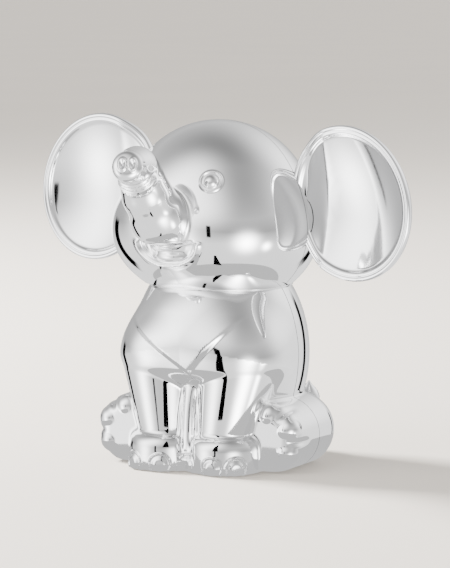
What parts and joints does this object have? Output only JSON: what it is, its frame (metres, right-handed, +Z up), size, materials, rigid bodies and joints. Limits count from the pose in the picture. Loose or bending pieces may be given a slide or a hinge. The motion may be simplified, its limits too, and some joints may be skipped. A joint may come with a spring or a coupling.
{
  "type": "elephant money box",
  "caption": "Seated baby elephant money box in polished silver-plated castings, with big dished ears, a raised trunk, a coin slot in the back and a push-in stopper in the base.",
  "frame": {"origin": "on the ground under the middle of the model's box in X and Y", "axes": "+Z up from the flat base; the body faces -Y; +X is towards the elephant's left ear"},
  "size_m": [0.1574, 0.1018, 0.123],
  "materials": {
    "silver_plate": "mirror-polished silver plate on zinc castings",
    "silver_plate_ears": "mirror-polished silver plate on zinc castings, slightly softer polish in the dish",
    "neck_ring_plate": "bright polished bead",
    "base_steel": "plain brushed sheet",
    "screw_steel": "zinc-plated",
    "base_felt": "pressed black felt",
    "stopper_plastic": "soft matt plastic"
  },
  "bodies": {
    "bank": {"head_front_shell": "silver_plate", "head_rear_shell": "silver_plate", "left_ear": "silver_plate_ears", "right_ear": "silver_plate_ears", "neck_ring": "neck_ring_plate", "body_front_shell": "silver_plate", "body_rear_shell": "silver_plate", "base_plate": "base_steel", "base_screws": "screw_steel", "base_felt": "base_felt"},
    "stopper": {"coin_stopper": "stopper_plastic"}
  },
  "joints": [
    {"name": "stopper_pull", "type": "slide", "parent": "bank", "child": "stopper", "axis": [0, 0, -1], "range_m": [0, 0.02]}
  ]
}
